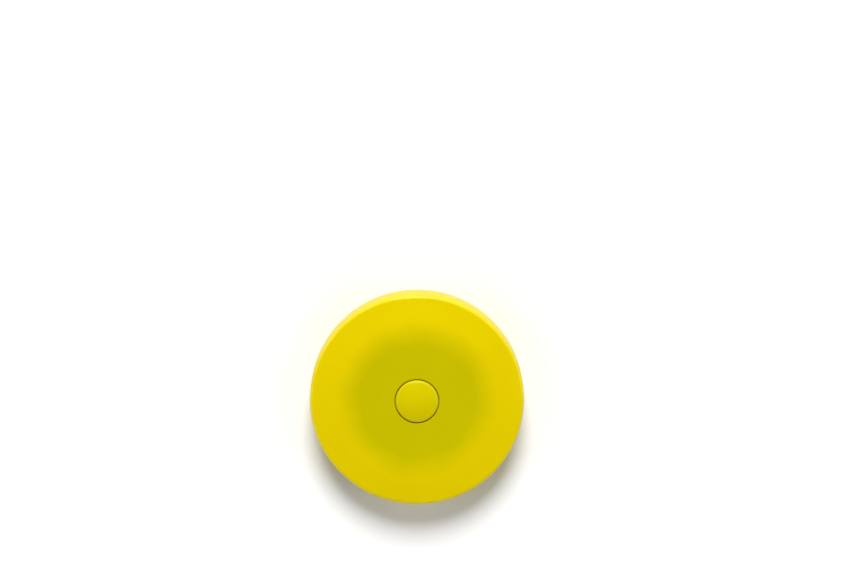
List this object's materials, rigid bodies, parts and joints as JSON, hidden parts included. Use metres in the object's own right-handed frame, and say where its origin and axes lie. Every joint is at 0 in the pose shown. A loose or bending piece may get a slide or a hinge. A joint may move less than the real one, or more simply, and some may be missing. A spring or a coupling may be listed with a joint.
{
  "type": "tape measure",
  "caption": "Round pocket tape measure: shallow domed two-shell case with a central push button that releases a spring-wound soft tape with a folded metal end clip.",
  "frame": {"origin": "on the case axis at the flat back face", "axes": "+Z out of the front face along the push button's axis, -X the way the tape is pulled out, so +Y points from the mouth's side across the case to the plain side"},
  "size_m": [0.05, 0.05, 0.0114],
  "materials": {
    "case_plastic": "satin gloss, injection moulded yellow",
    "button_plastic": "satin gloss, injection moulded yellow",
    "reel_plastic": "natural white acetal",
    "brake_rubber": "matt",
    "cover_steel": "plain",
    "spring_steel": "blued strip and wire",
    "tape_ribbon": "glass-fibre reinforced vinyl ribbon, printed scale",
    "clip_nickel": "nickel plated sheet steel",
    "rivet_brass": "plain"
  },
  "bodies": {
    "case": {"front_shell": "case_plastic", "back_shell": "case_plastic", "spring_arbor": "cover_steel", "brake_spring": "spring_steel"},
    "button": {"press_button": "button_plastic"},
    "carrier": {"thrust_cap": "rivet_brass"},
    "reel": {"reel": "reel_plastic", "brake_ring": "brake_rubber", "spring_cover": "cover_steel", "tape_coil": "tape_ribbon", "tape_key": "reel_plastic", "power_spring": "spring_steel"},
    "tape_end": {"end_clip": "clip_nickel", "clip_rivet": "rivet_brass", "tape_lead": "tape_ribbon"}
  },
  "joints": [
    {"name": "reel_drop", "type": "slide", "parent": "case", "child": "carrier", "axis": [0, 0, -1], "range_m": [0, 0.0006], "stiffness_N_per_m": 1000, "springref_m": -0.0015, "deforming": ["brake_spring"]},
    {"name": "button_press", "type": "slide", "parent": "case", "child": "button", "axis": [0, 0, -1], "range_m": [0, 0.0006]},
    {"name": "reel_spin", "type": "hinge", "parent": "carrier", "child": "reel", "pos_m": [0, 0, 0.0051], "axis": [0, 0, -1], "range_deg": [0, 4860], "deforming": ["power_spring"]},
    {"name": "tape_pull", "type": "slide", "parent": "case", "child": "tape_end", "axis": [-1, 0, 0], "range_m": [0, 1.503], "deforming": ["tape_lead"]}
  ],
  "couplings": [
    {"joint": "button_press", "follows": "reel_drop", "ratio": 1},
    {"joint": "tape_pull", "follows": "reel_spin", "m_per_rad": 0.017713}
  ]
}
